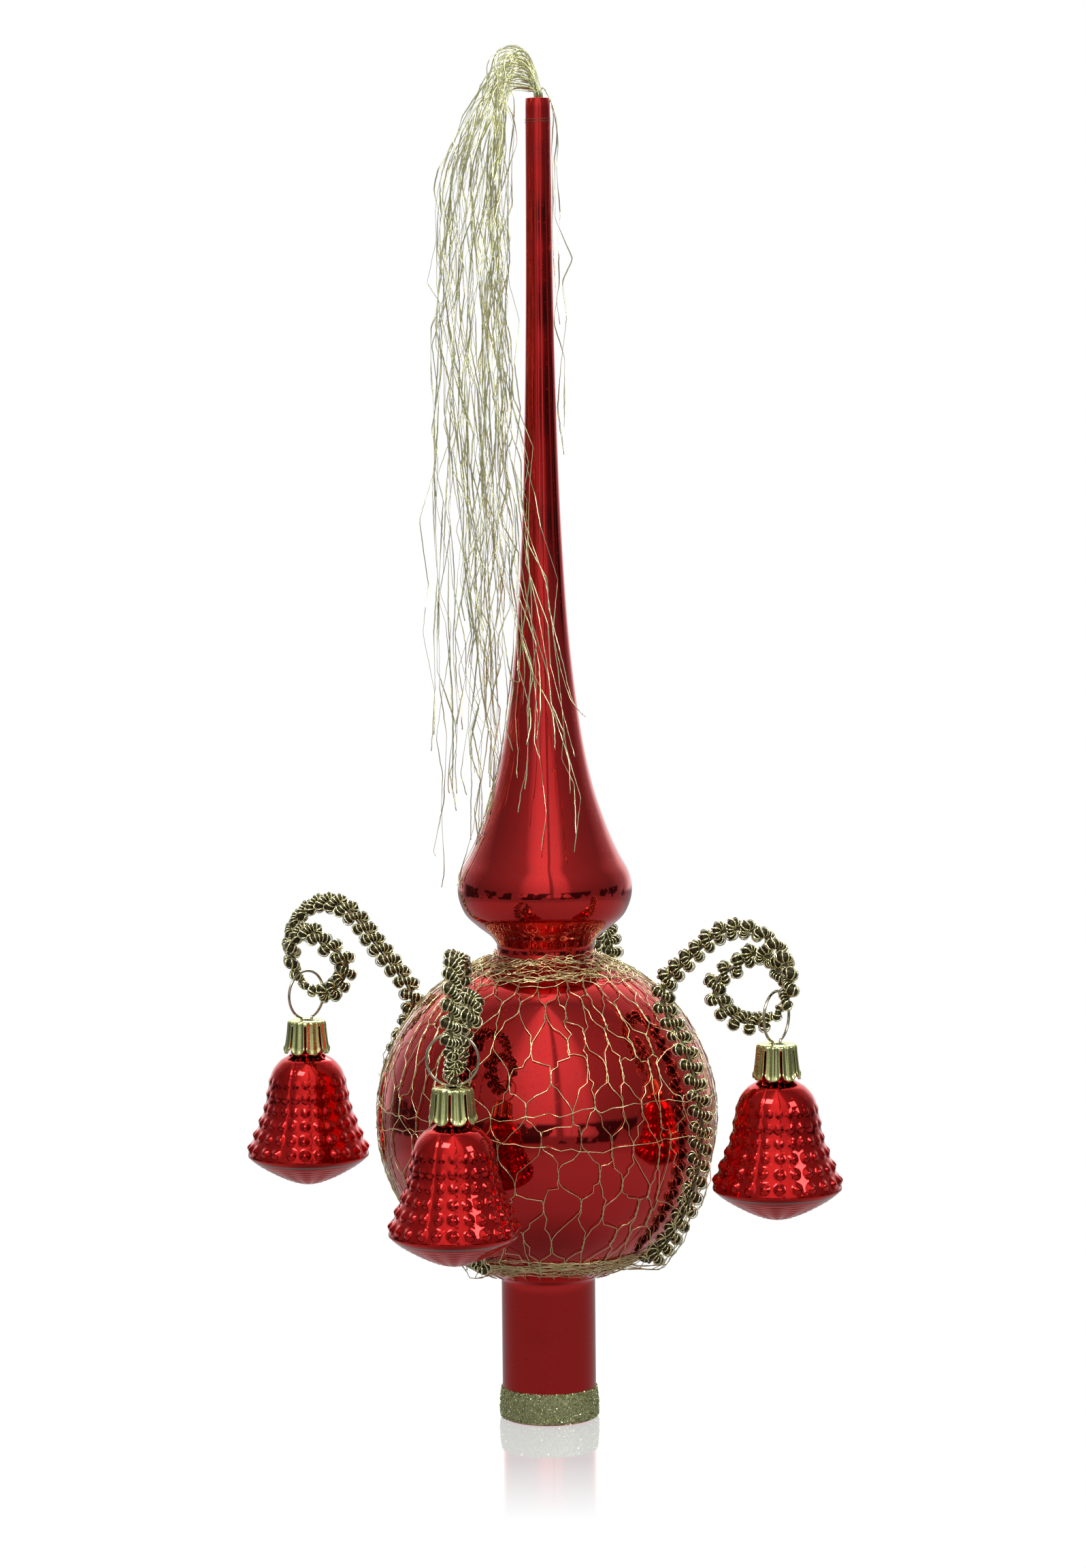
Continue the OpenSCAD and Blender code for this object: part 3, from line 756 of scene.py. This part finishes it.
net_paths = []
for wire in range(net_wires):
    az, tilt, lift = [], [], []
    for row in range(net_rows):
        paired = (wire - row % 2) % 2 == 0
        joint = ((wire - row % 2) // 2) % (net_wires // 2)
        here_az, here_tilt = joint_az[row, joint], joint_tilt[row, joint]
        apart = -0.3 if paired else 0.3
        over = 0.16 if paired else -0.05
        shrink = 1 / max(math.cos(math.radians(here_tilt)), 0.3)
        if row:
            back = len(az) - 1
            step_az = (here_az - az[back] + 180) % 360 - 180
            for part in (0.22, 0.5, 0.78):
                az.append(az[back] + step_az * (part + 0.9 * (part - 0.5) * abs(part - 0.5))
                          + chance.uniform(-1.15, 1.15) * shrink)
                tilt.append(tilt[back] + (here_tilt - net_hold - tilt[back]) * part
                            + chance.uniform(-0.8, 0.8))
                lift.append(chance.uniform(-0.05, 0.18))
            here_az = az[back] + step_az
        az += [here_az + apart * shrink, here_az - apart * 0.4 * shrink, here_az + apart * shrink]
        tilt += [here_tilt - net_hold, here_tilt, here_tilt + net_hold]
        lift += [0.0, over, 0.0]
    line, facing = on_net(az, tilt, np.array(lift))
    net_paths.append((line, facing, net_wire_radius, net_wire_radius))

for base_tilt, waves, phase in [(8.0, 2, 20), (-0.5, 3, 200)]:
    az = np.linspace(0, 360, 96, endpoint=False) + chance.uniform(-1, 1, 96)
    tilt = base_tilt + 2.6 * np.sin(np.radians(waves * az + phase)) + chance.uniform(-1.1, 1.1, 96)
    line, facing = on_net(np.r_[az, az[0] + 360], np.r_[tilt, tilt[0]], 0.18)
    net_paths.append((line, facing, net_wire_radius, net_wire_radius))
net = tube_wires("wire_net_mesh", net_paths, [net_gold], 6, "topper")
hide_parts("wire_net")


# The gathers: the net's two edges drawn together round the neck and round the tube's root, in
# tangled rounds of the net's own wire. Each ends in a few tighter rounds.
gather_points = 54


def ball_reach(z):
    """The glass's radius at a height near the ball's two ends."""
    inside_ball = np.clip(ball_radius ** 2 - (z - ball_height) ** 2, 0, None) ** 0.5
    return np.maximum(inside_ball, np.where(z > ball_height, neck_radius, tube_radius))


def gathered(rounds, low, high, spread):
    """Wires that run round a gathered edge of the net in tangled rounds."""
    bundle = []
    for _ in range(rounds):
        az = np.radians(np.linspace(0, 360, gather_points) + chance.uniform(0, 360))
        height = chance.uniform(low, high)
        wave = chance.uniform(0.3, 0.9) * np.sin(az * chance.integers(2, 6) + chance.uniform(0, 6))
        z = height + wave + chance.uniform(-0.55, 0.55, gather_points)
        reach = ball_reach(z) + chance.uniform(0.15, spread, gather_points)
        z[-1], reach[-1] = z[0], reach[0]
        line = np.stack([reach * np.sin(az), -reach * np.cos(az), z], 1)
        facing = np.stack([np.sin(az), -np.cos(az), 0 * az], 1)
        bundle.append((line, facing, net_wire_radius, net_wire_radius))
    return bundle


top_gather = tube_wires(
    "net_gather_top", gathered(17, 106.0, 110.6, 1.3) + gathered(4, 110.6, 111.6, 0.9),
    [net_gold], 5, "topper")
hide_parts("net_tie_top")
low_gather = tube_wires(
    "net_gather_bottom", gathered(15, 38.6, 41.8, 1.0) + gathered(4, 37.2, 38.4, 0.8),
    [net_gold], 5, "topper")
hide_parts("net_tie_bottom")


# The bells: thin glass blown into a nubbed mould, closed at the foot, with rows of round nubs and
# a bare seam above the foot where the lacquer stops. The neck is left open for the hanger's legs.
bell_rows = 6
bell_columns = 24
nub_height = 0.85
nub_radius = 1.6
nub_rows_from, nub_pitch = 9.6, 3.3
bell_seam_turn = 1.1
bell_low, bell_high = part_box("bell_glass_front")
cap_low, cap_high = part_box("bell_cap_front")
bell_glass_height = (bell_high.z - bell_low.z) / MM
rim_radius = (bell_high.x - bell_low.x) / MM / 2
bell_neck_radius = 4.0
dome_knots = [(0.05, 0), (3.2, 0.7), (6.8, 2.1), (10.2, 3.9), (12.8, 5.5)]
flank_knots = [
    (12.8, 5.5), (rim_radius - 0.3, 6.9), (rim_radius, 8.1), (12.5, 13.8), (10.5, 19.4),
    (9.6, 24.5), (8.6, 28.3), (6.7, 30.8), (4.8, 32), (bell_neck_radius, 32.6)]
bell_red, tree, n = lacquered_glass(
    "bell_red", (0.46, 0.008, 0.008, 1), (0.66, 0.018, 0.016, 1), 90.0, 0.35)
n.update(add_nodes(tree, {
    "map": "UVMap", "split": "SeparateXYZ", "seam": "ValToRGB", "paint": "Mix"}))
set_values(n, {"shader": {"Coat Weight": 0.12}, "paint": {"B": (0.22, 0.20, 0.18, 1)}})
seam_at = 0.281
set_ramp(n["seam"], [
    (0.0, 0), (seam_at - 0.004, 0), (seam_at - 0.001, 1),
    (seam_at + 0.008, 1), (seam_at + 0.012, 0)])
join_nodes(tree, n, [
    ("map", 0, "split", 0), ("split", "Y", "seam", 0), ("seam", 0, "paint", "Factor"),
    ("flow", "Colour", "paint", "A"), ("paint", "Result", "shader", "Base Color")])


def outline_to_rows(line, spacing):
    """Resamples an outline evenly along its length."""
    length = run_along(line)
    even = np.linspace(0, length[-1], int(length[-1] / spacing) + 1)
    return at_places(even, length, line)


def bell_points(seed):
    """Outside and inside of a bell as rows of points round its axis, foot at the origin."""
    luck = np.random.default_rng(seed)
    turns = bell_columns * 14
    angle = np.linspace(0, 2 * math.pi, turns, endpoint=False)
    dome = smooth_line(dome_knots, 8)
    flank = smooth_line(flank_knots, 10)
    neck = np.array([(bell_neck_radius, bell_glass_height)])
    line = outline_to_rows(np.vstack([dome, flank[1:], neck]), 0.36)
    radius = np.repeat(line[:, :1], turns, 1)
    height = np.repeat(line[:, 1:], turns, 1)
    ripple = 0.12 * np.sin(line[:, 0] * 5.2)[:, None] * np.cos(angle * 7 + luck.uniform(0, 6))
    height += np.where(line[:, 1:] < 5.3, ripple * np.clip(line[:, :1] / 4, 0, 1), 0)
    pitch = 2 * math.pi / bell_columns
    for row in range(bell_rows):
        z = nub_rows_from + nub_pitch * row
        own = np.interp(z, flank[:, 1], flank[:, 0])
        crowd = min(1.0, own * pitch / nub_pitch)
        for column in range(bell_columns):
            at = column * pitch + luck.normal(0, 0.012)
            turn_gap = (angle - at + math.pi) % (2 * math.pi) - math.pi
            across_gap = turn_gap[None] * own
            up_gap = (line[:, 1:] - z - luck.normal(0, 0.08)) * 1.06
            far = np.sqrt(across_gap ** 2 + up_gap ** 2) / (nub_radius * (0.55 + 0.45 * crowd))
            bump = np.where(far < 1, np.cos(np.clip(far, 0, 1) * math.pi / 2) ** 2, 0)
            radius += nub_height * (0.25 + 0.75 * crowd) * (1 - 0.13 * row) * bump
    seam = sum(np.exp(-(((angle - bell_seam_turn + half) % (2 * math.pi) - math.pi)
                        * 10 / 0.35) ** 2) for half in (math.pi, 0))
    radius += 0.16 * seam[None] * np.clip((line[:, 1:] - 7) / 3, 0, 1) * (line[:, 1:] < 31.5)
    inner = inner_line(line, 0.8)[::-1][:-2][::4]
    radius = np.vstack([radius, np.repeat(inner[:, :1], turns, 1)])
    height = np.vstack([height, np.repeat(inner[:, 1:], turns, 1)])
    points = np.stack([radius * np.cos(angle), radius * np.sin(angle), height], -1)
    return points, len(line)


bell_axes = {}
for seed, arm_name in enumerate(arm_shapes):
    low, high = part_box("bell_glass_" + arm_name)
    axis = np.array([(low.x + high.x) / 2, (low.y + high.y) / 2, low.z]) / MM
    cap_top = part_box("bell_cap_" + arm_name)[1].z / MM
    bell_axes[arm_name] = (axis, cap_top)
    points, outer_rows = bell_points(seed + 20)
    rows, turns = points.shape[:2]
    faces = grid_faces(rows, turns)
    uv = grid_uv(rows, turns)
    uv[:, 1] = np.minimum(uv[:, 1] * (rows - 1) / (outer_rows - 1), 1.5)
    slots = np.repeat(np.arange(rows - 1) >= outer_rows - 1, turns).astype(int)
    ends = [list(range(turns - 1, -1, -1)), list(range((rows - 1) * turns, rows * turns))]
    uv = np.vstack([uv, np.zeros((2 * turns, 2))])
    slots = np.r_[slots, 0, 1]
    bell = new_piece("bell_blown_" + arm_name, points.reshape(-1, 3) + axis, faces,
                     [bell_red, silvering], slots, uv, ends)
    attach(bell, "bell_" + arm_name)
    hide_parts("bell_glass_" + arm_name)


# The crown caps: gold-coloured sheet pressed into a cup with eight fluted fingers that grip the
# neck. The middle of the top is cut out. The hanger's legs cross the sheet beside the cut-out.
cap_gold = wire_metal("cap_gold", (0.68, 0.70, 0.30, 1), (0.38, 0.36, 0.13, 1), 260.0, 0.44, 0.14)
cap_fingers = 8
finger_steps = 18
slit_steps = 3
cap_height = (cap_high.z - cap_low.z) / MM
cap_top_radius = 4.75
cap_foot_radius = 5.5
cap_sheet = 0.28
cap_corner = 0.75
cap_flat_rows = 9
cap_corner_tilts = (15, 35, 55, 75, 90)


def cap_mesh(seed):
    """A cap's outer sheet as points and faces, its top at the origin."""
    luck = np.random.default_rng(seed)
    turns = cap_fingers * finger_steps
    angle = np.arange(turns) * 2 * math.pi / turns
    in_finger = (np.arange(turns) % finger_steps) / finger_steps
    hole = 1 / np.sqrt((np.cos(angle) / 1.1) ** 2 + (np.sin(angle) / 2.1) ** 2)
    rows = []
    for share in np.linspace(0, 1, cap_flat_rows):
        radius = hole + (cap_top_radius - cap_corner - hole) * share
        rows.append((radius, np.full(turns, 0.10 * math.sin(share * math.pi) - 0.02)))
    for a in np.radians(cap_corner_tilts):
        radius = np.full(turns, cap_top_radius - cap_corner + cap_corner * math.sin(a))
        rows.append((radius, np.full(turns, -cap_corner + cap_corner * math.cos(a))))
    middle = (finger_steps - slit_steps) / finger_steps / 2
    centred = (in_finger - middle) / middle
    curve = 1 - 0.16 * np.clip(np.abs(centred), 0, 1) ** 3.2
    bend = np.repeat(luck.normal(0, 0.12, cap_fingers), finger_steps)
    for share in np.linspace(0.05, 1, 22):
        down = cap_corner + (cap_height - cap_corner) * share
        radius = cap_top_radius + (cap_foot_radius - cap_top_radius) * share ** 1.2
        flick = 0.18 * max(0, share - 0.86) / 0.14
        rows.append((radius + flick + bend * share ** 2 * 0.6, -down * curve ** (share ** 2)))
    radius = np.array([r for r, _ in rows])
    height = np.array([h for _, h in rows])
    fade = np.clip((np.arange(len(rows)) - 7) / 6, 0, 1)[:, None]
    tail = np.clip((len(rows) + 1 - np.arange(len(rows))) / 5, 0.2, 1)[:, None]
    flutes = 0.5 - 0.5 * np.cos(2 * math.pi * np.clip(in_finger / (2 * middle), 0, 1) * 2)
    radius = radius - 0.34 * flutes * fade * tail
    points = np.stack([radius * np.cos(angle), radius * np.sin(angle), height], -1)
    faces = grid_faces(len(rows), turns).reshape(len(rows) - 1, turns, 4)
    slit = np.arange(turns) % finger_steps >= finger_steps - slit_steps
    keep = np.ones((len(rows) - 1, turns), bool)
    keep[cap_flat_rows + len(cap_corner_tilts):, slit] = False
    return points, faces[keep], keep


for seed, arm_name in enumerate(arm_shapes):
    axis, cap_top = bell_axes[arm_name]
    points, faces, keep = cap_mesh(seed + 60)
    rows, turns = points.shape[:2]
    az = math.radians(arm_shapes[arm_name]["rise_az"])
    turned = points @ np.array([[math.cos(az), math.sin(az), 0], [-math.sin(az), math.cos(az), 0],
                                [0, 0, 1]])
    place = np.array([axis[0], axis[1], cap_top - 0.10])
    uv = grid_uv(rows, turns).reshape(rows - 1, turns, 4, 2)[keep].reshape(-1, 2)
    cap = new_piece("crown_cap_" + arm_name, turned.reshape(-1, 3) + place, faces[:, ::-1],
                    [cap_gold], None, uv)
    sheet = cap.modifiers.new("sheet", "SOLIDIFY")
    sheet.thickness = cap_sheet * MM
    sheet.offset = -1
    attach(cap, "bell_" + arm_name)
    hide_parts("bell_cap_" + arm_name)


# The hangers: spring wire bent into a ring. Its two legs go through the cap and spread in the
# bell's neck. Each ring is threaded over the outer turn of its arm's curl.
hanger_steel = wire_metal("hanger_steel", (0.48, 0.44, 0.32, 1), (0.26, 0.21, 0.12, 1),
                          200.0, 0.42, 0.15)
hanger_wire = 0.325
hanger_ring = 12.4 / 2 - hanger_wire
leg_half = 1.5
for arm_name, shape in arm_shapes.items():
    axis, cap_top = bell_axes[arm_name]
    ring_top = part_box("bell_hanger_" + arm_name)[1].z / MM
    ring_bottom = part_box("bell_hanger_" + arm_name)[0].z / MM
    ring_middle = ring_top - hanger_wire - hanger_ring
    foot = math.degrees(math.asin(leg_half / hanger_ring))
    ring = arc_line((0, ring_middle), hanger_ring, foot - 86, 266 - foot, 90)
    foot_z = ring[0, 1] - 0.45
    leg_end = ring_bottom + hanger_wire
    right_leg = np.array([(2.0, leg_end), (1.8, (leg_end + foot_z) / 2), (1.52, foot_z - 0.5)])
    right_leg = smooth_line(right_leg, 6)
    left_leg = right_leg[::-1] * np.array([-1, 1])
    line = np.vstack([right_leg, ring, left_leg])
    line = smooth_line(line, 2)
    level = across(shape["rise_az"] + 90)
    place = np.array([axis[0], axis[1], 0])
    points = line[:, :1] * level + line[:, 1:] * UP + place
    facing = np.repeat(across(shape["rise_az"])[None], len(points), 0)
    hanger = tube_wires("hanger_ring_" + arm_name, [(points, facing, hanger_wire, hanger_wire)],
                        [hanger_steel], 12, "hanger_" + arm_name)
    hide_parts("bell_hanger_" + arm_name)


# Tinsel: a tuft of very fine crinkled metal strands, pushed into the open tip and bound there.
# The strands arch over the tip and fall in a loose hank, most on one side, some across the front.
tinsel_gold = wire_metal("tinsel_gold", (0.88, 0.88, 0.55, 1), (0.30, 0.30, 0.14, 1),
                         160.0, 0.42, 0.20)
glass_heights = np.r_[ball_line[-1:, 1], spire_line[:, 1]]
glass_radii = np.r_[neck_radius, spire_line[:, 0]]


def keep_outside(line):
    """Pushes a strand's points clear of the glass below the tip."""
    reach = np.hypot(line[:, 0], line[:, 1])
    need = np.interp(line[:, 2], glass_heights, glass_radii) + 0.35
    need = np.where(line[:, 2] > glass_top - 0.5, 0, need)
    scale = np.where(reach < need, need / np.maximum(reach, 0.05), 1)
    line[:, :2] *= scale[:, None]
    return line


def tinsel_strand(kind):
    """One strand's points from inside the tip to its free end."""
    u, w = chance.uniform(-1, 1), chance.uniform(-1, 1)
    low_u = 0.35 * u + 0.65 * chance.uniform(-1, 1)
    top = glass_top + chance.uniform(3.0, 12.0)
    arch = chance.uniform(0.7, 1.2)
    tip = np.array([(0.8 * u, 0.8 * w, glass_top - 0.4), (1.0 * u, 1.0 * w, glass_top + 1.5)])
    if kind == "fall":
        end = chance.uniform(126, 190) if chance.random() < 0.8 else chance.uniform(190, 250)
        knots = [((-2.0 - 1.5 * abs(u)) * arch, 1.2 * w, top - 1),
                 ((-7 - 3 * abs(u)) * arch, -1.5 + 2 * w, top - 1.5),
                 (-12 - 5 * u, -2 + 3.5 * w, glass_top - 5),
                 (-15.5 - 8 * u, -2 + 5 * w, 291), (-16.5 - 8.5 * u, -2 + 6 * w, 262)]
        z = 235
        drift = 0
        while z > end:
            drift += chance.normal(0, 0.8)
            fall = (262 - z) / 130
            spread = 9.5 * u * (1 - fall) + 13.0 * low_u * fall
            knots.append((-16.5 + 2.5 * fall - spread + drift, -2 + 6.5 * w + 0.5 * drift, z))
            z -= 26
        fall = (262 - end) / 130
        spread = 9.5 * u * (1 - fall) + 13.0 * low_u * fall
        knots.append((-16.5 + 2.5 * fall - spread + drift, -3 + 6 * w, end))
    elif kind == "cross":
        end = chance.uniform(136, 182)
        reach = chance.uniform(-7, 13)
        knots = [(-2.0, 1.0 * w, top - 2), (-6.5, -3, top - 3), (-9, -5, glass_top - 10),
                 (-10 + 3 * u, -7, 275), (-9 + 4 * u + 0.2 * reach, -8, 240),
                 (-6 + 4 * u + 0.4 * reach, -9, 208), (-2 + 2 * u + reach * 0.6, -12, 182),
                 (reach * 0.7, -15, (182 + end) / 2 - 3), (reach, -19, end)]
    else:
        end = chance.uniform(225, 262)
        knots = [(1.6, 0.8 * w, glass_top + 2.2), (3.4 + abs(u), w, glass_top - 3),
                 (4.6 + abs(u), w * 2, 297), (4.4 + u, w * 2, 280), (5 + 0.6 * u, w * 2, end)]
    line = smooth_line(np.vstack([tip, knots]), 14)
    length = run_along(line)
    even = np.arange(0, length[-1], 0.95)
    line = at_places(even, length, line)
    crinkle = chance.normal(0, 1, (len(line), 3))
    kinks = np.cumsum(np.r_[0, chance.uniform(5, 15, int(length[-1] / 5) + 2)])
    slow = np.stack([np.interp(even, kinks, chance.normal(0, 1.1, len(kinks)))
                     for _ in range(3)], 1)
    grow = np.clip((even - 8) / 12, 0, 1)[:, None]
    line = line + grow * (0.035 * crinkle + slow) * np.array([1, 1, 0.4])
    return keep_outside(line)


strands = []
for kind, count in (("fall", 60), ("cross", 14), ("right", 3)):
    for _ in range(count):
        line = tinsel_strand(kind)
        twist = np.linspace(0, chance.uniform(8, 30), len(line)) + chance.uniform(0, 6)
        facing = np.stack([np.cos(twist), np.sin(twist), 0.3 * np.sin(twist * 0.7)], 1)
        strands.append((line, facing, chance.uniform(0.10, 0.17), 0.06))
tinsel = tube_wires("tinsel_strands", strands, [tinsel_gold], 4, "topper")
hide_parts("tinsel_spray")
# Binding: two turns of thin dark wire round the spire just below its tip, which hold the tinsel.
# It lies on the glass, between the strands and the red lacquer.
binding_turns = 2
binding_low, binding_high = 305.2, 306.4
binding_wire = 0.07
turn = np.linspace(0, 2 * math.pi * binding_turns, 40 * binding_turns)
level = np.interp(turn, [0, turn[-1]], [binding_low, binding_high])
reach = np.interp(level, glass_heights, glass_radii) + binding_wire
binding_line = np.stack([reach * np.cos(turn), reach * np.sin(turn), level], 1)
binding_facing = np.stack([np.cos(turn), np.sin(turn), 0 * turn], 1)
binding = tube_wires("tinsel_wrap", [(binding_line, binding_facing, binding_wire, binding_wire)],
                     [core_iron], 6, "topper")
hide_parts("tinsel_binding")

for piece in scene.collection.objects:
    if piece.type == "MESH" and piece.name not in ("floor", "glass_topper_blown"):
        lamp_lit.objects.link(piece)
